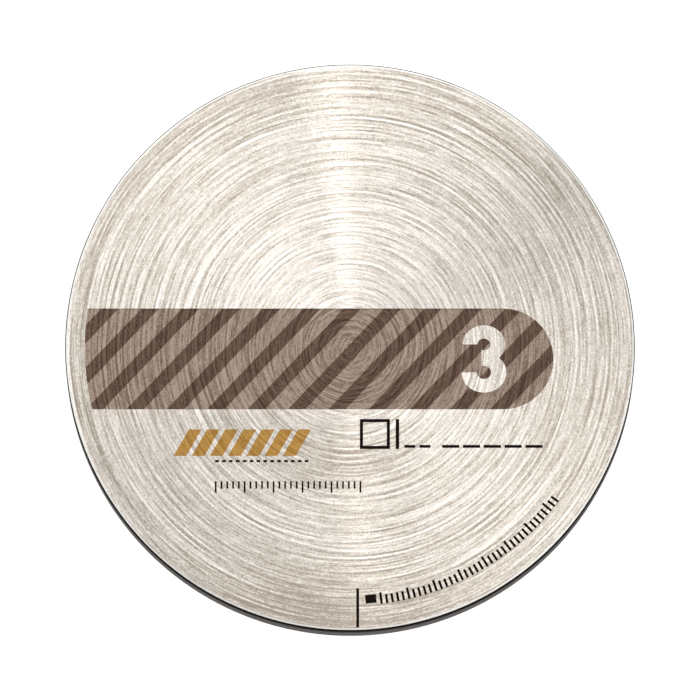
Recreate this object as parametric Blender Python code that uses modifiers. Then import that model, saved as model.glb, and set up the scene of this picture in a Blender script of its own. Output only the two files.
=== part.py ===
# Dental milling disc: a solid cobalt-chrome blank that a milling machine clamps by its rim.
# It is turned from one piece, with flat faces and chamfered edges, and its upper face is
# printed with a striped band, a numeral, a row of gold strokes and an index line.
#
# Metres, +Z up. The disc lies on its underside with its axis on Z and its underside at Z 0.
# The print reads upright for someone who stands at -Y.

import math

import bmesh
import bpy

MM = 0.001

# Blank
DISC_DIAMETER = 98.5 * MM
DISC_THICKNESS = 10.0 * MM
EDGE_CHAMFER = 0.4 * MM
TURNED_SEGMENTS = 192

# Ink, as it stands on the metal
INK_FILM = 0.02 * MM
OVERPRINT_FILM = 0.01 * MM      # the dark ink lies on the light one
INK_ROOT = 0.1 * MM             # reach of a printed shape into the blank that it is joined to
ARC_STEP = math.radians(4)

# Printed band: one end follows the rim, the other is round
BAND_HEIGHT = 17.5 * MM
BAND_DROP = 2.05 * MM           # the band's middle line lies this far below the disc's centre
BAND_RIM_GAP = 3.4 * MM         # from the rim to the end that follows it
BAND_NOSE_GAP = 14.1 * MM       # from the rim to the tip of the round end

# Dark stripes, measured along the band's lower edge
STRIPE_PITCH = 6.98 * MM
STRIPE_WIDTH = 3.0 * MM
STRIPE_START = -3.75 * MM       # left edge of one stripe, from the disc's centre
STRIPE_SLOPE = math.radians(46.5)

# Numeral, left bare in the band. Its shape is given in shares of its height
NUMERAL_MARGIN = 2.9 * MM       # printed band above and below it
NUMERAL_NOSE_GAP = 12.0 * MM    # from its middle to the tip of the round end
UPPER_BOWL = 0.285
LOWER_BOWL = 0.299
UPPER_EYE = 0.086
LOWER_EYE = 0.096
BOWL_WIDENING = 1.1             # the bowls and eyes are this much wider than high
ARM_OVERHANG = 0.035            # the middle arm ends this far left of the middle line

# Row of slanted gold strokes below the band
GOLD_STROKES = 7
GOLD_PITCH = 3.15 * MM
GOLD_WIDTH = 2.2 * MM
GOLD_HEIGHT = 4.6 * MM
GOLD_SLOPE = math.radians(60)
GOLD_BAND_GAP = 3.5 * MM        # from the band's lower edge to the strokes
GOLD_LEFT = -30.5 * MM          # lower left corner of the first stroke

# Index line at the rim
INDEX_WIDTH = 0.35 * MM
INDEX_LENGTH = 6.8 * MM
INDEX_OFFSET = 1.35 * MM        # to the right of the disc's centre
INDEX_EDGE_GAP = 0.15 * MM      # from its end to the chamfer

DISC_RADIUS = DISC_DIAMETER / 2
FACE_RADIUS = DISC_RADIUS - EDGE_CHAMFER
BAND_TOP = BAND_HEIGHT / 2 - BAND_DROP
BAND_BOTTOM = BAND_TOP - BAND_HEIGHT
NOSE_TIP = DISC_RADIUS - BAND_NOSE_GAP


def clear_scene():
    for old in list(bpy.data.objects):
        bpy.data.objects.remove(old, do_unlink=True)


def new_collection(name):
    collection = bpy.data.collections.new(name)
    bpy.context.scene.collection.children.link(collection)
    return collection


def linear_colour(red, green, blue):
    # Colours are given as seen on a screen, from 0 to 255
    def channel(value):
        share = value / 255
        if share <= 0.04045:
            return share / 12.92
        return ((share + 0.055) / 1.055) ** 2.4

    return (channel(red), channel(green), channel(blue), 1.0)


def new_material(name, colour, metallic, roughness):
    material = bpy.data.materials.new(name)
    material.use_nodes = True
    material.diffuse_color = colour
    shader = material.node_tree.nodes["Principled BSDF"]
    shader.inputs["Base Color"].default_value = colour
    shader.inputs["Metallic"].default_value = metallic
    shader.inputs["Roughness"].default_value = roughness
    return material


def evaluated_mesh(source):
    # The object's shape with its modifiers or its curve settings worked in
    depsgraph = bpy.context.evaluated_depsgraph_get()
    return bpy.data.meshes.new_from_object(source.evaluated_get(depsgraph))


def replace_by_mesh(source, mesh, collection):
    name = source.name
    bpy.data.objects.remove(source, do_unlink=True)
    made = bpy.data.objects.new(name, mesh)
    collection.objects.link(made)
    return made


def as_cutter(solid):
    solid.hide_render = True
    solid.display_type = "WIRE"
    return solid


def turned_blank(collection):
    # Half section from the centre of the upper face round to the centre of the lower face
    section = [
        (0.0, DISC_THICKNESS),
        (FACE_RADIUS, DISC_THICKNESS),
        (DISC_RADIUS, DISC_THICKNESS - EDGE_CHAMFER),
        (DISC_RADIUS, EDGE_CHAMFER),
        (FACE_RADIUS, 0.0),
        (0.0, 0.0),
    ]
    mesh = bpy.data.meshes.new("milling_disc")
    corners = [(radius, 0.0, height) for radius, height in section]
    sides = [(index, index + 1) for index in range(len(section) - 1)]
    mesh.from_pydata(corners, sides, [])
    blank = bpy.data.objects.new("milling_disc", mesh)
    collection.objects.link(blank)

    turning = blank.modifiers.new("turning", "SCREW")
    turning.axis = "Z"
    turning.angle = math.tau
    turning.steps = TURNED_SEGMENTS
    turning.render_steps = TURNED_SEGMENTS
    turning.use_merge_vertices = True
    turning.merge_threshold = 0.00001
    return blank


def arc(centre, radius, start, end, widening=1.0):
    # Points from one angle to the other, both included
    steps = max(2, math.ceil(abs(end - start) / ARC_STEP))
    points = []
    for step in range(steps + 1):
        angle = start + (end - start) * step / steps
        x = centre[0] + radius * widening * math.cos(angle)
        y = centre[1] + radius * math.sin(angle)
        points.append((x, y))
    return points


def band_outline():
    nose_radius = BAND_HEIGHT / 2
    nose_centre = (NOSE_TIP - nose_radius, -BAND_DROP)
    end_radius = DISC_RADIUS - BAND_RIM_GAP
    lower_angle = math.pi - math.asin(BAND_BOTTOM / end_radius)
    upper_angle = math.pi - math.asin(BAND_TOP / end_radius)
    nose = arc(nose_centre, nose_radius, math.pi / 2, -math.pi / 2)
    rim_end = arc((0.0, 0.0), end_radius, lower_angle, upper_angle)
    return nose + rim_end


def numeral_outline():
    # Two round bowls, one over the other, each with a round eye. The outer line runs round
    # the upper bowl to the waist, where the bowls cross, and round the lower bowl. The inner
    # line comes back round the eyes, past the blunt end of the middle arm.
    height = BAND_HEIGHT - 2 * NUMERAL_MARGIN
    upper_radius = UPPER_BOWL * height
    lower_radius = LOWER_BOWL * height
    upper_eye = UPPER_EYE * height
    lower_eye = LOWER_EYE * height
    middle = NOSE_TIP - NUMERAL_NOSE_GAP
    foot = -BAND_DROP - height / 2
    lower_centre = (middle, foot + lower_radius)
    upper_centre = (middle, foot + height - upper_radius)

    rise = upper_centre[1] - lower_centre[1]
    waist = (rise ** 2 + lower_radius ** 2 - upper_radius ** 2) / (2 * rise)
    upper_waist_angle = math.asin((waist - rise) / upper_radius)
    lower_waist_angle = math.asin(waist / lower_radius)
    arm = ARM_OVERHANG * height / BOWL_WIDENING
    lower_arm_angle = math.pi - math.acos(arm / lower_eye)
    upper_arm_angle = math.pi + math.acos(arm / upper_eye)

    def turn(centre, radius, start, end):
        return arc(centre, radius, start, end, BOWL_WIDENING)

    outer = turn(upper_centre, upper_radius, math.pi, upper_waist_angle)
    outer += turn(lower_centre, lower_radius, lower_waist_angle, -math.pi)[1:]
    inner = turn(lower_centre, lower_eye, -math.pi, lower_arm_angle)
    inner += turn(upper_centre, upper_eye, upper_arm_angle - math.tau, math.pi)
    return outer + inner


def gold_outlines():
    top = BAND_BOTTOM - GOLD_BAND_GAP
    bottom = top - GOLD_HEIGHT
    lean = GOLD_HEIGHT / math.tan(GOLD_SLOPE)
    outlines = []
    for stroke in range(GOLD_STROKES):
        left = GOLD_LEFT + stroke * GOLD_PITCH
        right = left + GOLD_WIDTH
        outlines.append([(left, bottom), (right, bottom), (right + lean, top), (left + lean, top)])
    return outlines


def index_outline():
    left = INDEX_OFFSET - INDEX_WIDTH / 2
    right = INDEX_OFFSET + INDEX_WIDTH / 2
    outer = -math.sqrt((FACE_RADIUS - INDEX_EDGE_GAP) ** 2 - right ** 2)
    inner = outer + INDEX_LENGTH
    return [(left, outer), (right, outer), (right, inner), (left, inner)]


def flat_solid(name, outlines, low, high, material, collection):
    # Flat shapes from one height to another. The outlines are filled in millimetres and
    # then scaled down, as a fill in metres is coarse.
    curve = bpy.data.curves.new(name, "CURVE")
    curve.dimensions = "2D"
    curve.fill_mode = "BOTH"
    curve.extrude = (high - low) / 2 / MM
    for outline in outlines:
        spline = curve.splines.new("POLY")
        spline.points.add(len(outline) - 1)
        for point, (x, y) in zip(spline.points, outline):
            point.co = (x / MM, y / MM, 0.0, 1.0)
        spline.use_cyclic_u = True
    flat = bpy.data.objects.new(name, curve)
    flat.scale = (MM, MM, MM)
    flat.location.z = (low + high) / 2
    collection.objects.link(flat)
    bpy.context.view_layer.update()

    mesh = evaluated_mesh(flat)
    mesh.transform(flat.matrix_world)
    shape = bmesh.new()
    shape.from_mesh(mesh)
    bmesh.ops.remove_doubles(shape, verts=shape.verts, dist=0.000001)
    shape.to_mesh(mesh)
    shape.free()
    mesh.materials.clear()
    mesh.materials.append(material)
    return as_cutter(replace_by_mesh(flat, mesh, collection))


def printed_solid(name, outlines, material, collection):
    # A print is rooted in the blank and stands one ink film above it
    low = DISC_THICKNESS - INK_ROOT
    high = DISC_THICKNESS + INK_FILM
    return flat_solid(name, outlines, low, high, material, collection)


def upper_faces(shape):
    return [face for face in shape.faces if face.normal.z > 0.5]


def distance_into_stripe(point):
    # Measured along the band, from the left edge of the stripe before the point
    lean = (point.y - BAND_BOTTOM) / math.tan(STRIPE_SLOPE)
    return (point.x - lean - STRIPE_START) % STRIPE_PITCH


def split_at_stripes(shape):
    run = BAND_HEIGHT / math.tan(STRIPE_SLOPE)
    first = math.floor((-DISC_RADIUS - run - STRIPE_START) / STRIPE_PITCH)
    last = math.ceil((DISC_RADIUS - STRIPE_START) / STRIPE_PITCH)
    across = (math.sin(STRIPE_SLOPE), -math.cos(STRIPE_SLOPE), 0.0)
    for stripe in range(first, last + 1):
        left = STRIPE_START + stripe * STRIPE_PITCH
        for edge in (left, left + STRIPE_WIDTH):
            faces = upper_faces(shape)
            edges = {side for face in faces for side in face.edges}
            corners = {corner for face in faces for corner in face.verts}
            bmesh.ops.bisect_plane(
                shape,
                geom=list(corners) + list(edges) + faces,
                dist=0.0000001,
                plane_co=(edge, BAND_BOTTOM, 0.0),
                plane_no=across,
            )


def overprint_stripes(band, material):
    # The upper face of the band is split along both edges of each stripe, and the stripes
    # are raised by the thickness of the second ink.
    band.data.materials.append(material)
    shape = bmesh.new()
    shape.from_mesh(band.data)
    split_at_stripes(shape)
    for face in upper_faces(shape):
        if distance_into_stripe(face.calc_center_median()) < STRIPE_WIDTH:
            face.material_index = 1
    bmesh.ops.dissolve_limit(
        shape,
        angle_limit=math.radians(1),
        verts=shape.verts,
        edges=shape.edges,
        delimit={"MATERIAL"},
    )

    dark_faces = [face for face in shape.faces if face.material_index == 1]
    raised = bmesh.ops.extrude_face_region(shape, geom=dark_faces)
    raised_corners = [item for item in raised["geom"] if isinstance(item, bmesh.types.BMVert)]
    bmesh.ops.translate(shape, verts=raised_corners, vec=(0.0, 0.0, OVERPRINT_FILM))
    covered = [face for face in dark_faces if face.is_valid]
    bmesh.ops.delete(shape, geom=covered, context="FACES_ONLY")
    shape.to_mesh(band.data)
    shape.free()


def cut_numeral(band, material, collection):
    low = DISC_THICKNESS - 2 * INK_ROOT
    high = DISC_THICKNESS + 2 * (INK_FILM + OVERPRINT_FILM)
    numeral = flat_solid("numeral", [numeral_outline()], low, high, material, collection)
    cut = band.modifiers.new("numeral", "BOOLEAN")
    cut.operation = "DIFFERENCE"
    cut.solver = "EXACT"
    cut.object = numeral
    bpy.context.view_layer.update()
    return as_cutter(replace_by_mesh(band, evaluated_mesh(band), collection))


def join_print(blank, solids, collection):
    for solid in solids:
        union = blank.modifiers.new(solid.name, "BOOLEAN")
        union.operation = "UNION"
        union.solver = "EXACT"
        union.material_mode = "TRANSFER"
        union.object = solid
    bpy.context.view_layer.update()
    disc = replace_by_mesh(blank, evaluated_mesh(blank), collection)
    disc.data.shade_smooth()
    disc.data.set_sharp_from_angle(angle=math.radians(30))


def build():
    clear_scene()
    part = new_collection("dental_milling_disc")
    cutters = new_collection("cutters")

    metal = new_material("brushed cobalt chrome", linear_colour(232, 227, 217), 1.0, 0.35)
    light_ink = new_material("taupe ink", linear_colour(150, 133, 120), 0.0, 0.5)
    dark_ink = new_material("brown ink", linear_colour(95, 75, 67), 0.0, 0.5)
    gold_ink = new_material("gold ink", linear_colour(205, 150, 50), 0.3, 0.4)
    black_ink = new_material("black ink", linear_colour(22, 20, 20), 0.0, 0.5)

    blank = turned_blank(part)
    blank.data.materials.append(metal)
    band = printed_solid("band", [band_outline()], light_ink, cutters)
    overprint_stripes(band, dark_ink)
    band = cut_numeral(band, light_ink, cutters)
    gold = printed_solid("gold_strokes", gold_outlines(), gold_ink, cutters)
    index = printed_solid("index_line", [index_outline()], black_ink, cutters)
    join_print(blank, [band, gold, index], part)


build()
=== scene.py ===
import math

import bpy
import numpy as np
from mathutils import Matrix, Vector


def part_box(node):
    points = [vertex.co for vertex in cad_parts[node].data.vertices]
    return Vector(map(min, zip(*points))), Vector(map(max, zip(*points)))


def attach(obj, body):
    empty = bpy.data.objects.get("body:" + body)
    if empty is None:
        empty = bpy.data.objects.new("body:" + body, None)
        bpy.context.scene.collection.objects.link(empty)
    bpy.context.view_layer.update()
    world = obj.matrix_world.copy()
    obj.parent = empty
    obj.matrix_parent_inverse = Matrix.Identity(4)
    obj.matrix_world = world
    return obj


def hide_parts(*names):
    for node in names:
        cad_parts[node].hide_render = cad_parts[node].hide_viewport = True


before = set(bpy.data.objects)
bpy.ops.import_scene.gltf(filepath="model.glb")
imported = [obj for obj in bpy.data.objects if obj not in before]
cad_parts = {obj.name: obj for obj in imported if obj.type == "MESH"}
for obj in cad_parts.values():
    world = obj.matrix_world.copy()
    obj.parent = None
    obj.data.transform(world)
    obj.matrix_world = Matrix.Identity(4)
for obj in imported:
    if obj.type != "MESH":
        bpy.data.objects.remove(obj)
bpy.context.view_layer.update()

mm = 0.001
cadDisc = "milling_disc"

# Ink heights above the bare metal
inkHeights = {
    "film": 0.02 * mm,
    "overprint": 0.01 * mm,      # the dark ink lies on the light one
    "root": 0.03 * mm,           # how far a print reaches into the metal, so no gap shows
}

# The disc stands on Z 0 with its axis on Z, and its box ends at the top of the dark ink
lowCorner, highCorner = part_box(cadDisc)
discRadius = (highCorner[0] - lowCorner[0]) / 2
faceHeight = highCorner[2] - inkHeights["film"] - inkHeights["overprint"]
print("frame: disc radius", round(discRadius / mm, 3), "mm, face height", round(faceHeight / mm, 3), "mm")


# Meshes from outlines and profiles

def finishMesh(name, points, faces, material, uv=None):
    mesh = bpy.data.meshes.new(name)
    mesh.from_pydata(points, [], faces)
    if uv is not None:
        mesh.uv_layers.new(name="turned").data.foreach_set("uv", np.ravel(uv))
    mesh.materials.append(material)
    mesh.validate()
    piece = bpy.data.objects.new(name, mesh)
    bpy.context.scene.collection.objects.link(piece)
    return piece


def turnedPiece(name, section, turns, material):
    # point(s, t) = (radius(s) cos t, radius(s) sin t, height(s)): a half section carried
    # round the axis. The section runs from the upper centre out and down to the lower centre
    rings = section[1:-1]
    angle = np.arange(turns) * math.tau / turns
    x = rings[:, :1] * np.cos(angle)
    y = rings[:, :1] * np.sin(angle)
    z = np.repeat(rings[:, 1:], turns, axis=1)
    points = np.stack([x, y, z], axis=-1).reshape(-1, 3)
    upperPole = len(points)
    lowerPole = upperPole + 1
    points = np.vstack([points, [0, 0, section[0, 1]], [0, 0, section[-1, 1]]])

    row = np.arange(len(rings) - 1)[:, None] * turns
    here = np.arange(turns)[None, :]
    after = (here + 1) % turns
    quads = np.stack([row + here, row + turns + here, row + turns + after, row + after], axis=-1)
    lastRow = (len(rings) - 1) * turns
    upperFan = np.stack([np.full(turns, upperPole), here[0], after[0]], axis=-1)
    lowerFan = np.stack([np.full(turns, lowerPole), lastRow + after[0], lastRow + here[0]], axis=-1)
    faces = quads.reshape(-1, 4).tolist() + upperFan.tolist() + lowerFan.tolist()

    # The map runs once round the disc in u and along the section in v
    travel = np.concatenate([[0], np.cumsum(np.hypot(*np.diff(section, axis=0).T))])
    travel = travel / travel[-1]
    v = travel[1:-1]
    left = np.broadcast_to(here / turns, (len(rings) - 1, turns))
    right = left + 1 / turns
    upper = np.broadcast_to(v[:-1, None], left.shape)
    lower = np.broadcast_to(v[1:, None], left.shape)
    quadMap = np.stack([left, upper, left, lower, right, lower, right, upper], axis=-1)
    start, stop = left[0], right[0]
    middle = (start + stop) / 2
    first, last = np.full(turns, v[0]), np.full(turns, v[-1])
    upperMap = np.stack([middle, np.zeros(turns), start, first, stop, first], axis=-1)
    lowerMap = np.stack([middle, np.ones(turns), stop, last, start, last], axis=-1)
    uv = np.concatenate([quadMap.ravel(), upperMap.ravel(), lowerMap.ravel()])
    return finishMesh(name, points.tolist(), faces, material, uv)


def printedPiece(name, outlines, low, high, material):
    # point(s, h) = (outline(s), h): each closed outline, anticlockwise, is carried up from
    # low to high, and both ends are closed
    points = []
    faces = []
    for outline in outlines:
        count = len(outline)
        base = sum(len(part) for part in points)
        for height in (low, high):
            points.append(np.column_stack([outline, np.full(count, height)]))
        lower = base + np.arange(count)
        upper = lower + count
        walls = np.stack([lower, np.roll(lower, -1), np.roll(upper, -1), upper], axis=-1)
        faces += walls.tolist() + [upper.tolist(), lower[::-1].tolist()]
    return finishMesh(name, np.vstack(points).tolist(), faces, material)


def arc(centre, radius, start, stop, count, widening=1.0):
    # Points at equal angles from start to stop, in degrees, both included
    angle = np.radians(np.linspace(start, stop, count))
    return np.column_stack([
        centre[0] + radius * widening * np.cos(angle),
        centre[1] + radius * np.sin(angle),
    ])


def bar(left, bottom, width, height, lean=0.0):
    # A four-sided bar whose upper edge stands to the right of its lower one by lean
    return np.array([
        [left, bottom],
        [left + width, bottom],
        [left + width + lean, bottom + height],
        [left + lean, bottom + height],
    ])


def cutAway(piece, cutter):
    # Takes the cutter's shape out of the piece, and leaves a mesh without modifiers
    cut = piece.modifiers.new("cut", "BOOLEAN")
    cut.operation = "DIFFERENCE"
    cut.solver = "EXACT"
    cut.object = cutter
    bpy.context.view_layer.update()
    depsgraph = bpy.context.evaluated_depsgraph_get()
    mesh = bpy.data.meshes.new_from_object(piece.evaluated_get(depsgraph))
    piece.modifiers.clear()
    piece.data = mesh
    mesh.name = piece.name


# Node helpers

def screenColour(red, green, blue):
    # Colour as seen on a screen, 0 to 255, turned into linear light by the sRGB curve
    share = np.array([red, green, blue]) / 255
    linear = np.where(share <= 0.04045, share / 12.92, ((share + 0.055) / 1.055) ** 2.4)
    return (*linear.tolist(), 1.0)


def addNode(tree, kind, inputs, output=0, **settings):
    made = tree.nodes.new(kind)
    for key, value in settings.items():
        setattr(made, key, value)
    for socket, value in inputs.items():
        if isinstance(value, bpy.types.NodeSocket):
            tree.links.new(value, made.inputs[socket])
        else:
            made.inputs[socket].default_value = value
    return made.outputs[output]


def calc(tree, operation, *values, clamp=False):
    inputs = dict(enumerate(values))
    return addNode(tree, "ShaderNodeMath", inputs, operation=operation, use_clamp=clamp)


def mixColours(tree, factor, first, second):
    inputs = {0: factor, 6: first, 7: second}
    return addNode(tree, "ShaderNodeMix", inputs, output=2, data_type="RGBA")


def newMaterial(name):
    material = bpy.data.materials.new(name)
    material.use_nodes = True
    shader = material.node_tree.nodes["Principled BSDF"]
    return material, material.node_tree, shader


# Brush marks. Each layer is noise drawn out round the axis: pitch is its size along the
# section, turns is how often it changes in one radian round the disc, and start is where it
# begins in the noise, so that no layer repeats another
brushLayers = {
    "rings": {"pitch": 0.27 * mm, "turns": 0.5, "weight": 0.30, "start": 3.0},
    "arcs": {"pitch": 0.26 * mm, "turns": 2.0, "weight": 0.30, "start": 57.0},
    "lines": {"pitch": 0.25 * mm, "turns": 7.0, "weight": 0.30, "start": 117.0},
    "hairs": {"pitch": 0.24 * mm, "turns": 25.0, "weight": 0.30, "start": 241.0},
    "grain": {"pitch": 0.24 * mm, "turns": 110.0, "weight": 0.44, "start": 401.0},
    "sweeps": {"pitch": 1.90 * mm, "turns": 2.5, "weight": 0.08, "start": 631.0},
}

# Deeper scores: each cell of the section holds a dark and a bright line side by side, painted shade
# and painted highlight on the two sides of a groove that the bump also raises. A noise that differs
# from cell to cell gives them strength and order, and fades them round the disc
scores = [
    {"pitch": 0.92 * mm, "turns": 1.8, "depth": 0.14, "start": 811.0},
    {"pitch": 0.70 * mm, "turns": 3.5, "depth": 0.13, "start": 967.0},
]
scoreWander = {"pitch": 5.0 * mm, "turns": 0.4, "cells": 2.5}    # so that no two are alike
scoreStrength = {"gain": 4.0, "lift": -2.0}    # noise from 0 to 1 becomes -2 to 2
scoreGap = 0.137    # cells to a unit of noise, so that each has a strength of its own

# Two full rings that the tool left near the middle, each drawn as painted shade and painted
# highlight beside a groove that the bump also raises
ringMarks = {
    "radii": (5.4 * mm, 9.2 * mm),
    "width": 0.34 * mm,
    "depth": 0.45,
    "fading": {"pitch": 0.60 * mm, "turns": 1.8, "start": 700.0},
    "gain": 4.0,                 # noise times gain plus lift, from 0 to 1, is their strength
    "lift": -1.6,
}


def turnedPlace(tree):
    # The direction from the axis, the distance from it, the height, and the distance along
    # the section: outward on the upper face, downward on the wall
    point = addNode(tree, "ShaderNodeTexCoord", {}, output=3)
    level = addNode(tree, "ShaderNodeVectorMath", {0: point, 1: (1, 1, 0)}, operation="MULTIPLY")
    direction = addNode(tree, "ShaderNodeVectorMath", {0: level}, operation="NORMALIZE")
    distance = addNode(tree, "ShaderNodeVectorMath", {0: level}, output=1, operation="LENGTH")
    height = addNode(tree, "ShaderNodeSeparateXYZ", {0: point}, output=2)
    along = calc(tree, "SUBTRACT", distance, height)
    return {"direction": direction, "distance": distance, "height": height, "along": along}


def turnedNoise(tree, direction, along, layer):
    # Noise at the point (direction x turns, along / pitch + start)
    stretched = calc(tree, "MULTIPLY_ADD", along, 1 / layer["pitch"], layer["start"])
    lifted = addNode(tree, "ShaderNodeCombineXYZ", {2: stretched})
    inputs = {0: direction, 1: (layer["turns"],) * 3, 2: lifted}
    place = addNode(tree, "ShaderNodeVectorMath", inputs, operation="MULTIPLY_ADD")
    return addNode(tree, "ShaderNodeTexNoise", {"Vector": place, "Scale": 1.0, "Detail": 0.0})


# Painted shade and painted highlight side by side, the two sides of a groove
def darkAndBright(tree, across):
    # across = u rises from 0 to 1 over the line: 20.8 u (1 - u) (u - 1/2) goes from -1 to 1
    steepness = 20.8
    falling = calc(tree, "MULTIPLY_ADD", across, -steepness, steepness)
    sides = calc(tree, "MULTIPLY", across, falling)
    return calc(tree, "MULTIPLY", sides, calc(tree, "SUBTRACT", across, 0.5))


def scoreLines(tree, direction, along, score):
    # The whole part of (along / pitch + wander) numbers the cell, and the rest is the place in it
    wander = turnedNoise(tree, direction, along, scoreWander | {"start": score["start"]})
    count = calc(tree, "MULTIPLY_ADD", along, 1 / score["pitch"], score["start"])
    count = calc(tree, "MULTIPLY_ADD", wander, scoreWander["cells"], count)
    cell = calc(tree, "FLOOR", count)
    apart = {"pitch": scoreGap, "turns": score["turns"], "start": score["start"]}
    noise = turnedNoise(tree, direction, cell, apart)
    strength = calc(tree, "MULTIPLY_ADD", noise, scoreStrength["gain"], scoreStrength["lift"])
    lines = darkAndBright(tree, calc(tree, "FRACT", count))
    return calc(tree, "MULTIPLY", lines, strength)


def brushMarks(tree, place):
    # The sum of the layers, each times its weight, with a mean of 0.5, then scores and rings
    direction, along = place["direction"], place["along"]
    total = 0.5 - 0.5 * sum(layer["weight"] for layer in brushLayers.values())
    for layer in brushLayers.values():
        noise = turnedNoise(tree, direction, along, layer)
        total = calc(tree, "MULTIPLY_ADD", noise, layer["weight"], total)
    for score in scores:
        lines = scoreLines(tree, direction, along, score)
        total = calc(tree, "MULTIPLY_ADD", lines, score["depth"], total)
    fading = turnedNoise(tree, direction, along, ringMarks["fading"])
    strength = calc(tree, "MULTIPLY_ADD", fading, ringMarks["gain"], ringMarks["lift"], clamp=True)
    slope = 1 / ringMarks["width"]
    for radius in ringMarks["radii"]:
        # on the upper face the distance along the section is the radius less the height
        shift = 0.5 - (radius - faceHeight) * slope
        across = calc(tree, "MULTIPLY_ADD", along, slope, shift, clamp=True)
        line = calc(tree, "MULTIPLY", darkAndBright(tree, across), strength)
        total = calc(tree, "MULTIPLY_ADD", line, ringMarks["depth"], total)
    return total


metalSwing = 0.16    # how much smoother the bright marks are than the dark ones

faceMetal = {
    "bright": screenColour(255, 248, 240),
    "dull": screenColour(172, 162, 148),
    "middle": 0.58,              # share of the bright colour in the mean
    "contrast": 1.62,
    "rimShade": 0.37,             # painted shade: darker towards the rim
    "roughness": 0.36,
    "anisotropy": 1.0,
    "grooveDepth": 0.014 * mm,
    "metallic": 1.0,
    "shadeReach": 0.0,
    "shadePatches": [                 # painted shade: darker patches below the band and at the rim, towards -Y
        {"azimuth": 262, "power": 3, "radius": 20 * mm, "reach": 13 * mm, "depth": 0.36},
        {"azimuth": 264, "power": 16, "radius": 47 * mm, "reach": 12 * mm, "depth": 0.42},
    ],
}


def shadePatchStrength(tree, place, shadePatch):
    # cos(angle from the shade patch's azimuth) ^ power times 1 - |distance - radius| / reach
    azimuth = math.radians(shadePatch["azimuth"])
    towards = (math.cos(azimuth), math.sin(azimuth), 0.0)
    inputs = {0: place["direction"], 1: towards}
    facing = addNode(tree, "ShaderNodeVectorMath", inputs, output=1, operation="DOT_PRODUCT")
    facing = calc(tree, "POWER", calc(tree, "MAXIMUM", facing, 0.0), shadePatch["power"])
    away = calc(tree, "ABSOLUTE", calc(tree, "SUBTRACT", place["distance"], shadePatch["radius"]))
    near = calc(tree, "MULTIPLY_ADD", away, -1 / shadePatch["reach"], 1.0, clamp=True)
    return calc(tree, "MULTIPLY", facing, near)


def brushedMetal(name, facts):
    # Its colour lies between dull and bright: middle + contrast (marks - 1/2), less a painted
    # shade towards the rim that is nothing at half the radius, and less the painted shade patches
    material, tree, shader = newMaterial(name)
    place = turnedPlace(tree)
    marks = brushMarks(tree, place)
    middle = facts["middle"] - 0.5 * facts["contrast"] + 0.5 * facts["rimShade"]
    share = calc(tree, "MULTIPLY_ADD", marks, facts["contrast"], middle)
    rimShading = calc(tree, "MULTIPLY", place["distance"], facts["rimShade"] / discRadius)
    share = calc(tree, "SUBTRACT", share, rimShading)
    # painted shade: each patch darkens the colour
    for shadePatch in facts["shadePatches"]:
        strength = shadePatchStrength(tree, place, shadePatch)
        share = calc(tree, "MULTIPLY_ADD", strength, -shadePatch["depth"], share)
    share = calc(tree, "ADD", share, 0.0, clamp=True)
    colour = mixColours(tree, share, facts["dull"], facts["bright"])
    shader.inputs["Metallic"].default_value = facts["metallic"]
    if facts["shadeReach"] > 0:
        # painted shade on the upper wall, from 1 at the end of the full shade
        # to 0 at the end of all shade; in it the metal gives way to a matte dark colour
        rate = 1 / (facts["shadeReach"] - facts["fullShade"])
        lift = 1 + (facts["fullShade"] - faceHeight) * rate
        shade = calc(tree, "MULTIPLY_ADD", place["height"], rate, lift, clamp=True)
        shade = calc(tree, "SQRT", shade)
        colour = mixColours(tree, shade, colour, facts["shade"])
        metallic = calc(tree, "MULTIPLY_ADD", shade, -facts["metallic"], facts["metallic"])
        tree.links.new(metallic, shader.inputs["Metallic"])
        shader.inputs["Specular Tint"].default_value = facts["edgeTint"]
        shader.inputs["Specular IOR Level"].default_value = 0.0
    tree.links.new(colour, shader.inputs["Base Color"])
    roughest = facts["roughness"] + metalSwing / 2
    rough = calc(tree, "MULTIPLY_ADD", marks, -metalSwing, roughest)
    tree.links.new(rough, shader.inputs["Roughness"])
    shader.inputs["Anisotropic"].default_value = facts["anisotropy"]
    shader.inputs["Anisotropic Rotation"].default_value = 0.25    # lights streak across the marks
    tangent = addNode(tree, "ShaderNodeTangent", {}, direction_type="UV_MAP", uv_map="turned")
    tree.links.new(tangent, shader.inputs["Tangent"])
    grooves = {"Height": marks, "Strength": 1.0, "Distance": facts["grooveDepth"]}
    tree.links.new(addNode(tree, "ShaderNodeBump", grooves), shader.inputs["Normal"])
    return material


chamferMetal = {
    "bright": screenColour(255, 254, 251),
    "dull": screenColour(228, 225, 218),
    "middle": 0.6,
    "contrast": 1.5,
    "rimShade": 0.0,
    "roughness": 0.28,
    "anisotropy": 0.5,
    "grooveDepth": 0.004 * mm,
    "metallic": 1.0,
    "shadeReach": 0.0,
    "shadePatches": [],
}

# The wall's darker metal is partly its turned finish and partly painted shade
wallMetal = {
    "bright": screenColour(154, 150, 147),
    "dull": screenColour(85, 81, 79),
    "middle": 0.45,
    "contrast": 1.2,
    "rimShade": 0.0,
    "roughness": 0.36,
    "anisotropy": 0.6,
    "grooveDepth": 0.006 * mm,
    "metallic": 0.6,
    "edgeTint": (0.0, 0.0, 0.0, 1.0),
    "shadeReach": 4.4 * mm,      # painted shade: the upper part of the wall is darker
    "fullShade": 1.1 * mm,       # and at its top as dark as it gets
    "shade": screenColour(18, 13, 10),
    "shadePatches": [],
}

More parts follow.
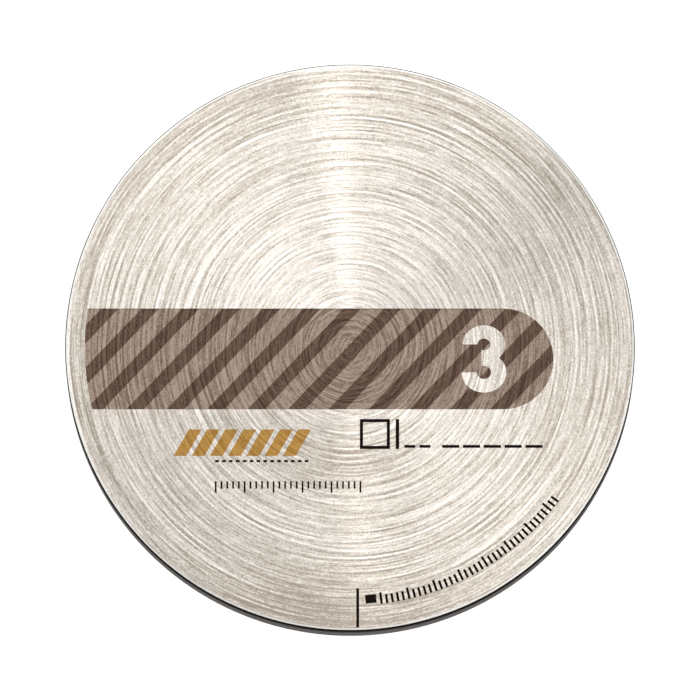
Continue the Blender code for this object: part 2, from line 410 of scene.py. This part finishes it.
# Inks, with colours in screen values. The streaks go as many of them down and up
inks = {
    "taupe": {"colour": (136, 118, 104), "streaks": 27, "roughness": 0.5, "shine": 0.25},
    "brown": {"colour": (82, 60, 46), "streaks": 20, "roughness": 0.5, "shine": 0.25},
    "gold": {"colour": (163, 121, 52), "streaks": 16, "roughness": 0.4, "shine": 0.25},
    "black": {"colour": (18, 9, 6), "streaks": 5, "roughness": 0.5, "shine": 0.06},
}
inkSurface = {
    "streakGain": 2.8,           # contrast of the streaks
    "swing": 0.15,               # how much smoother the light streaks are than the dark ones
    "grooveDepth": 0.003 * mm,
}


def inkMaterial(name):
    # Ink that lets the brush marks under it show
    facts = inks[name]
    material, tree, shader = newMaterial(name + " ink")
    marks = brushMarks(tree, turnedPlace(tree))
    darker = screenColour(*(channel - facts["streaks"] for channel in facts["colour"]))
    lighter = screenColour(*(channel + facts["streaks"] for channel in facts["colour"]))
    gain = inkSurface["streakGain"]
    spread = calc(tree, "MULTIPLY_ADD", marks, gain, 0.5 - 0.5 * gain, clamp=True)
    tree.links.new(mixColours(tree, spread, darker, lighter), shader.inputs["Base Color"])
    shader.inputs["Specular IOR Level"].default_value = facts["shine"]
    roughest = facts["roughness"] + inkSurface["swing"] / 2
    rough = calc(tree, "MULTIPLY_ADD", marks, -inkSurface["swing"], roughest)
    tree.links.new(rough, shader.inputs["Roughness"])
    grooves = {"Height": marks, "Strength": 1.0, "Distance": inkSurface["grooveDepth"]}
    tree.links.new(addNode(tree, "ShaderNodeBump", grooves), shader.inputs["Normal"])
    return material


faceMaterial = brushedMetal("brushed alloy face", faceMetal)
chamferMaterial = brushedMetal("cut chamfer", chamferMetal)
wallMaterial = brushedMetal("turned wall", wallMetal)
taupeInk = inkMaterial("taupe")
brownInk = inkMaterial("brown")
goldInk = inkMaterial("gold")
blackInk = inkMaterial("black")
print("materials: ready")

# The blank
blank = {
    "chamfer": 0.4 * mm,
    "faceEdge": 0.08 * mm,       # how far the rubbed corners reach from the sharp ones
    "wallEdge": 0.24 * mm,
    "cornerSteps": 6,
    "turns": 360,
    "faceRings": 24,
    "scallopPitch": 0.4 * mm,    # tool marks down the wall
    "scallopDepth": 0.006 * mm,
    "scallopSteps": 4,
    "faceUpright": 0.95,         # least upright share of the normals on a face
    "chamferUpright": 0.69,      # and on a chamfer; the wall has less
    "sharpAngle": math.radians(35),
}


def blankSection(facts):
    # Half of the section: the upper face, a chamfer with rounded corners, the wall with its
    # tool marks, the lower chamfer and the lower face
    chamfer = facts["chamfer"]
    faceRadius = discRadius - chamfer
    faceStations = np.linspace(0, faceRadius - facts["faceEdge"], facts["faceRings"])
    upperFace = np.column_stack([faceStations, np.full(len(faceStations), faceHeight)])

    steps = np.linspace(0, 1, facts["cornerSteps"])[:, None]

    def roundedCorner(before, corner, after, reach):
        # A curve with its two ends on the straight lines that meet at the corner
        one = corner + (before - corner) / np.linalg.norm(before - corner) * reach
        two = corner + (after - corner) / np.linalg.norm(after - corner) * reach
        return (1 - steps) ** 2 * one + 2 * steps * (1 - steps) * corner + steps ** 2 * two

    corners = np.array([
        [0.0, faceHeight],
        [faceRadius, faceHeight],
        [discRadius, faceHeight - chamfer],
        [discRadius, chamfer],
        [faceRadius, 0.0],
        [0.0, 0.0],
    ])
    reaches = [facts["faceEdge"], facts["wallEdge"], facts["wallEdge"], facts["faceEdge"]]
    edges = [roundedCorner(*corners[k:k + 3], reaches[k]) for k in range(4)]
    wallTop = faceHeight - chamfer - facts["wallEdge"]
    wallBottom = chamfer + facts["wallEdge"]
    count = round((wallTop - wallBottom) / facts["scallopPitch"])
    station = np.linspace(0, 1, facts["scallopSteps"] * count + 1)[1:-1]
    depth = facts["scallopDepth"] * np.abs(np.sin(np.pi * count * station))
    wall = np.column_stack([discRadius - depth, wallTop + (wallBottom - wallTop) * station])
    lowerFace = upperFace[::-1].copy()
    lowerFace[:, 1] = 0.0
    return np.vstack([upperFace[:-1], *edges[:2], wall, *edges[2:], lowerFace[1:]])


section = blankSection(blank)
disc = turnedPiece("millingDisc", section, blank["turns"], faceMaterial)
disc.data.materials.append(chamferMaterial)
disc.data.materials.append(wallMaterial)
normals = np.empty(len(disc.data.polygons) * 3)
disc.data.polygons.foreach_get("normal", normals)
upright = np.abs(normals.reshape(-1, 3)[:, 2])
limits = [upright > blank["faceUpright"], upright > blank["chamferUpright"]]
surface = np.select(limits, [0, 1], 2)
disc.data.polygons.foreach_set("material_index", surface.astype(np.int32))
disc.data.shade_smooth()
disc.data.set_sharp_from_angle(angle=blank["sharpAngle"])
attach(disc, "root")
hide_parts(cadDisc)
print("blank:", len(disc.data.polygons), "faces")

# The printed band: its left end follows the rim, its right end is round
band = {
    "height": 17.5 * mm,
    "drop": 2.05 * mm,           # its middle line lies this far below the disc's centre
    "rimGap": 3.4 * mm,
    "noseGap": 14.1 * mm,        # from the rim to the tip of the round end
    "edgeLine": 0.1 * mm,        # a thin dark line along the upper edge
    "nosePoints": 91,
    "rimPoints": 61,
}
bandTop = band["height"] / 2 - band["drop"]
bandBottom = bandTop - band["height"]
bandEndRadius = discRadius - band["rimGap"]
noseRadius = band["height"] / 2
noseTip = discRadius - band["noseGap"]
noseCentre = (noseTip - noseRadius, -band["drop"])


def bandLeft(y):
    return -np.sqrt(bandEndRadius ** 2 - y ** 2)


def bandRight(y):
    across = np.clip(noseRadius ** 2 - (y - noseCentre[1]) ** 2, 0, None)
    return noseCentre[0] + np.sqrt(across)


def bandOutline():
    lower = math.degrees(math.pi - math.asin(bandBottom / bandEndRadius))
    upper = math.degrees(math.pi - math.asin(bandTop / bandEndRadius))
    nose = arc(noseCentre, noseRadius, -90, 90, band["nosePoints"])
    rimEnd = arc((0, 0), bandEndRadius, upper, lower, band["rimPoints"])
    return np.vstack([nose, rimEnd])


def edgeOutline():
    # A thin line along the straight part of the upper edge
    low = bandTop - band["edgeLine"]
    return np.array([
        [bandLeft(low), low],
        [noseCentre[0], low],
        [noseCentre[0], bandTop],
        [bandLeft(bandTop), bandTop],
    ])


stripes = {
    "pitch": 6.98 * mm,          # along the band's lower edge
    "width": 3.0 * mm,
    "start": -3.75 * mm,         # left edge of one stripe, from the disc's centre
    "slope": math.radians(46.5),
    "least": 0.002 * mm,         # a stripe ends where it is narrower
    "searchRows": 4001,          # rows in which its ends are looked for
    "rows": 160,
}


def stripeEdges(foot, y):
    # A slanted stripe between two lines, limited by both ends of the band:
    # x = line(y), but no less than bandLeft(y) and no more than bandRight(y)
    line = foot + (y - bandBottom) / math.tan(stripes["slope"])
    left = np.clip(line, bandLeft(y), bandRight(y))
    right = np.clip(line + stripes["width"], bandLeft(y), bandRight(y))
    return left, right


def stripeOutlines():
    # Each stripe that crosses the band, up its right edge and down its left one
    run = band["height"] / math.tan(stripes["slope"])
    first = math.floor((-discRadius - run - stripes["start"]) / stripes["pitch"])
    last = math.ceil((discRadius - stripes["start"]) / stripes["pitch"])
    allRows = np.linspace(bandBottom, bandTop, stripes["searchRows"])
    outlines = []
    for stripe in range(first, last + 1):
        foot = stripes["start"] + stripe * stripes["pitch"]
        left, right = stripeEdges(foot, allRows)
        inside = allRows[right - left > stripes["least"]]
        if len(inside) < 2:
            continue
        rows = np.linspace(inside[0], inside[-1], stripes["rows"])
        left, right = stripeEdges(foot, rows)
        leftSide = np.column_stack([left, rows])[::-1]
        rightSide = np.column_stack([right, rows])
        outlines.append(np.vstack([rightSide, leftSide]))
    return outlines


numeral = {
    "margin": 2.9 * mm,          # band above and below it
    "noseGap": 12.0 * mm,        # from its middle to the tip of the round end
    "upperBowl": 0.285,          # radii as shares of its height
    "lowerBowl": 0.299,
    "upperEye": 0.086,
    "lowerEye": 0.096,
    "widening": 1.1,             # the bowls and eyes are wider than high
    "armOverhang": 0.035,        # how far left of its middle the middle arm ends
    "bowlPoints": 73,
    "eyePoints": 61,
    "cut": 1.0 * mm,             # how far its cutter reaches up and down from the face
}


def numeralOutline():
    # Two round bowls, each with a round eye. The outer line runs round the upper bowl to the
    # waist, where the bowls cross, and round the lower one. The inner line comes back round
    # the eyes, past the blunt end of the middle arm
    height = band["height"] - 2 * numeral["margin"]
    middle = noseTip - numeral["noseGap"]
    foot = -band["drop"] - height / 2
    upperRadius, lowerRadius = numeral["upperBowl"] * height, numeral["lowerBowl"] * height
    upperEye, lowerEye = numeral["upperEye"] * height, numeral["lowerEye"] * height
    lowerCentre = (middle, foot + lowerRadius)
    upperCentre = (middle, foot + height - upperRadius)
    rise = upperCentre[1] - lowerCentre[1]
    waist = (rise ** 2 + lowerRadius ** 2 - upperRadius ** 2) / (2 * rise)
    upperWaist = math.degrees(math.asin((waist - rise) / upperRadius))
    lowerWaist = math.degrees(math.asin(waist / lowerRadius))
    wide = numeral["widening"]
    arm = numeral["armOverhang"] * height / wide
    lowerArm = 180 - math.degrees(math.acos(arm / lowerEye))
    upperArm = -180 + math.degrees(math.acos(arm / upperEye))
    bowl, eye = numeral["bowlPoints"], numeral["eyePoints"]
    return np.vstack([
        arc(upperCentre, upperRadius, 180, upperWaist, bowl, wide),
        arc(lowerCentre, lowerRadius, lowerWaist, -180, bowl, wide)[1:],
        arc(lowerCentre, lowerEye, -180, lowerArm, eye, wide),
        arc(upperCentre, upperEye, upperArm, 180, eye, wide),
    ])[::-1]


def addPrint(name, outlines, material, layer=0):
    # Layer 0 lies on the metal, and layer 1 on the ink of layer 0
    low = faceHeight - inkHeights["root"]
    high = faceHeight + inkHeights["film"] + layer * inkHeights["overprint"]
    piece = printedPiece(name, outlines, low, high, material)
    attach(piece, "root")
    return piece


cutLow, cutHigh = faceHeight - numeral["cut"], faceHeight + numeral["cut"]
numeralCutter = printedPiece("numeralCutter", [numeralOutline()], cutLow, cutHigh, taupeInk)
bandPrint = addPrint("bandPrint", [bandOutline()], taupeInk)
addPrint("bandEdge", [edgeOutline()], brownInk, layer=1)
stripePrint = addPrint("stripePrint", stripeOutlines(), brownInk, layer=1)
cutAway(bandPrint, numeralCutter)
cutAway(stripePrint, numeralCutter)
bpy.data.objects.remove(numeralCutter, do_unlink=True)
print("band: printed, with the numeral left bare")

# Row of slanted gold strokes with a finer dark row under it
gold = {
    "strokes": 7,
    "pitch": 3.15 * mm,
    "width": 2.2 * mm,
    "height": 4.6 * mm,
    "slope": math.radians(60),
    "bandGap": 3.5 * mm,
    "left": -30.5 * mm,
}


def goldOutlines():
    bottom = bandBottom - gold["bandGap"] - gold["height"]
    lean = gold["height"] / math.tan(gold["slope"])
    lefts = gold["left"] + np.arange(gold["strokes"]) * gold["pitch"]
    return [bar(left, bottom, gold["width"], gold["height"], lean) for left in lefts]


addPrint("goldStrokes", goldOutlines(), goldInk)

# Small plain marks, each a row of bars. All sizes are in millimetres
smallMarks = {
    "underRow": {
        "left": -23.3, "bottom": -20.0, "width": 0.66, "height": 0.40,
        "pitch": 1.19, "count": 14,
    },
    "shortDashes": {
        "left": 9.4, "bottom": -17.5, "width": 1.9, "height": 0.5,
        "pitch": 2.6, "count": 2,
    },
    "longDashes": {
        "left": 15.9, "bottom": -17.5, "width": 3.0, "height": 0.5,
        "pitch": 3.6, "count": 5,
    },
    "uprightBar": {
        "left": 7.9, "bottom": -17.7, "width": 0.6, "height": 5.2,
        "pitch": 1.0, "count": 1,
    },
}


def markOutlines(facts):
    lefts = facts["left"] + np.arange(facts["count"]) * facts["pitch"]
    return [
        bar(left * mm, facts["bottom"] * mm, facts["width"] * mm, facts["height"] * mm)
        for left in lefts
    ]


for name, facts in smallMarks.items():
    addPrint(name, markOutlines(facts), blackInk)

# A short graduated rule
rule = {
    "left": -23.2 * mm,
    "top": -23.3 * mm,
    "pitch": 1.0 * mm,
    "count": 26,
    "width": 0.31 * mm,
    "long": 2.0 * mm,            # every fifth mark
    "short": 1.3 * mm,
    "longEvery": 5,
}


def ruleOutlines():
    outlines = []
    for mark in range(rule["count"]):
        height = rule["long"] if mark % rule["longEvery"] == 0 else rule["short"]
        left = rule["left"] + mark * rule["pitch"] - rule["width"] / 2
        outlines.append(bar(left, rule["top"] - height, rule["width"], height))
    return outlines


addPrint("shortRule", ruleOutlines(), blackInk)

# A square outline of four mitred bars
square = {"left": 1.7 * mm, "bottom": -17.7 * mm, "side": 5.2 * mm, "line": 0.55 * mm}


def squareOutlines():
    left, bottom, side, line = square["left"], square["bottom"], square["side"], square["line"]
    outer = np.array([[0, 0], [side, 0], [side, side], [0, side]]) + [left, bottom]
    inset = side - line
    inner = np.array([[line, line], [inset, line], [inset, inset], [line, inset]]) + [left, bottom]
    return [
        np.array([outer[k], outer[(k + 1) % 4], inner[(k + 1) % 4], inner[k]]) for k in range(4)
    ]


addPrint("squareMark", squareOutlines(), blackInk)

# Index line at the rim
indexLine = {
    "width": 0.48 * mm,
    "length": 6.8 * mm,
    "offset": 1.33 * mm,         # its middle lies this far right of the disc's
    "edgeGap": 0.15 * mm,        # between its foot and the chamfer
}


def indexOutline():
    left = indexLine["offset"] - indexLine["width"] / 2
    right = left + indexLine["width"]
    reach = discRadius - blank["chamfer"] - indexLine["edgeGap"]
    foot = -math.sqrt(reach ** 2 - right ** 2)
    return bar(left, foot, indexLine["width"], indexLine["length"])


addPrint("indexLine", [indexOutline()], blackInk)

# A small block and a graduated arc beside the index line, with azimuths in degrees
rimScale = {
    "radius": 44.9 * mm,         # of the marks' outer ends
    "from": 277.0,
    "step": 1.25,
    "count": 38,
    "width": 0.43 * mm,
    "long": 2.0 * mm,
    "short": 1.55 * mm,
    "longEvery": 5,
    "startBlock": {"azimuth": 274.7, "radius": 44.6 * mm, "width": 1.9 * mm, "length": 1.5 * mm},
}


def pointingBar(azimuth, radius, width, length):
    # A bar that points to the disc's centre: drawn on the x axis and turned by its azimuth
    outline = bar(radius - length, -width / 2, length, width)
    turn = math.radians(azimuth)
    spin = np.array([[math.cos(turn), math.sin(turn)], [-math.sin(turn), math.cos(turn)]])
    return outline @ spin


def rimScaleOutlines():
    outlines = [pointingBar(**rimScale["startBlock"])]
    for mark in range(rimScale["count"]):
        azimuth = rimScale["from"] + mark * rimScale["step"]
        length = rimScale["long"] if mark % rimScale["longEvery"] == 0 else rimScale["short"]
        outlines.append(pointingBar(azimuth, rimScale["radius"], rimScale["width"], length))
    return outlines


addPrint("rimScale", rimScaleOutlines(), blackInk)
print("prints: ready")

# Floor, light and camera
floorFacts = {
    "size": 12.0,                # metres
    "colour": screenColour(250, 250, 250),
    "glow": 0.45,
    "roughness": 0.9,
    "shine": 0.1,
}


def makeFloor():
    half = floorFacts["size"] / 2
    corners = [(-half, -half, 0), (half, -half, 0), (half, half, 0), (-half, half, 0)]
    material, tree, shader = newMaterial("pale floor")
    shader.inputs["Base Color"].default_value = floorFacts["colour"]
    shader.inputs["Roughness"].default_value = floorFacts["roughness"]
    shader.inputs["Specular IOR Level"].default_value = floorFacts["shine"]
    shader.inputs["Emission Color"].default_value = floorFacts["colour"]
    shader.inputs["Emission Strength"].default_value = floorFacts["glow"]
    floor = finishMesh("floor", corners, [(0, 1, 2, 3)], material)


makeFloor()

studio = {
    "light": (1.0, 1.0, 1.0, 1.0),
    "allRound": 0.78,            # light from all sides
    "horizon": 0.55,             # share of it left at the horizon
    "fullHeight": 0.6,           # sine of the height above which it is full
    "twoSides": 3.35,            # further light from halfway up at both ends of one line
    "lineAzimuth": math.radians(147),
    "backdrop": (0.98, 0.98, 0.98, 1.0),
}


def makeWorld():
    # strength = the smaller of allRound and a light that rises from the horizon, plus
    # twoSides x (share of the direction along the line x its height) ^ 2
    world = bpy.data.worlds.new("studio")
    bpy.context.scene.world = world
    world.use_nodes = True
    tree = world.node_tree
    background = tree.nodes["Background"]
    direction = addNode(tree, "ShaderNodeTexCoord", {}, output=0)
    line = (math.cos(studio["lineAzimuth"]), math.sin(studio["lineAzimuth"]), 0.0)
    inputs = {0: direction, 1: line}
    share = addNode(tree, "ShaderNodeVectorMath", inputs, output=1, operation="DOT_PRODUCT")
    height = addNode(tree, "ShaderNodeSeparateXYZ", {0: direction}, output=2)
    product = calc(tree, "MULTIPLY", share, height)
    squared = calc(tree, "MULTIPLY", product, product)
    lowest = studio["horizon"] * studio["allRound"]
    rate = (studio["allRound"] - lowest) / studio["fullHeight"]
    risen = calc(tree, "MULTIPLY_ADD", calc(tree, "ABSOLUTE", height), rate, lowest)
    allRound = calc(tree, "MINIMUM", risen, studio["allRound"])
    strength = calc(tree, "MULTIPLY_ADD", squared, studio["twoSides"], allRound)
    background.inputs["Color"].default_value = studio["light"]
    tree.links.new(strength, background.inputs["Strength"])
    backdrop = tree.nodes.new("ShaderNodeBackground")
    backdrop.inputs["Color"].default_value = studio["backdrop"]
    seen = addNode(tree, "ShaderNodeLightPath", {}, output=0)
    inputs = {0: seen, 1: background.outputs[0], 2: backdrop.outputs[0]}
    shown = addNode(tree, "ShaderNodeMixShader", inputs)
    tree.links.new(shown, tree.nodes["World Output"].inputs["Surface"])


makeWorld()

# Soft lights round the disc: distance from its centre, compass direction from +X and height
# above the horizon in degrees, power, and size across and along
softboxes = {
    "overhead": {
        "distance": 0.40, "azimuth": 90, "elevation": 80,
        "size": (0.05, 0.05), "power": 0.032,
    },
    "sideBox": {
        "distance": 0.20, "azimuth": 72, "elevation": 38,
        "size": (0.12, 0.12), "power": 0.048,
    },
    "leftBox": {
        "distance": 0.25, "azimuth": 121, "elevation": 40,
        "size": (0.10, 0.10), "power": 0.018,
    },
    "strip": {
        "distance": 0.60, "azimuth": 93.5, "elevation": 40,
        "size": (0.02, 0.24), "power": 0.215,
    },
}


def addSoftbox(name, facts):
    light = bpy.data.lights.new(name, "AREA")
    light.shape = "RECTANGLE"
    light.size, light.size_y = facts["size"]
    light.energy = facts["power"]
    lamp = bpy.data.objects.new(name, light)
    azimuth, elevation = math.radians(facts["azimuth"]), math.radians(facts["elevation"])
    towards = Vector((
        math.cos(azimuth) * math.cos(elevation),
        math.sin(azimuth) * math.cos(elevation),
        math.sin(elevation),
    ))
    lamp.location = Vector((0, 0, faceHeight)) + towards * facts["distance"]
    lamp.rotation_euler = towards.to_track_quat("Z", "Y").to_euler()
    lamp.visible_camera = False
    bpy.context.scene.collection.objects.link(lamp)


for name, facts in softboxes.items():
    addSoftbox(name, facts)

# The camera looks down on the face from a little to the front, through a long lens
view = {
    "distance": 4.0,
    "tilt": math.radians(6.1),
    "frameWidth": 121.0 * mm,    # width of the picture at the disc
    "aim": (0.0, -0.5 * mm, 10.0 * mm),
    "sensor": 36,                # in millimetres, as the lens is
    "clipEnd": 30,
}


def makeCamera():
    camera = bpy.data.cameras.new("camera")
    camera.sensor_width = view["sensor"]
    camera.lens = view["sensor"] * view["distance"] / view["frameWidth"]
    camera.clip_end = view["clipEnd"]
    eye = bpy.data.objects.new("camera", camera)
    back = Vector((0, -math.sin(view["tilt"]), math.cos(view["tilt"])))
    eye.location = Vector(view["aim"]) + back * view["distance"]
    eye.rotation_euler = back.to_track_quat("Z", "Y").to_euler()
    bpy.context.scene.collection.objects.link(eye)
    bpy.context.scene.camera = eye


makeCamera()
bpy.context.scene.view_settings.view_transform = "Standard"
print("stage: ready")
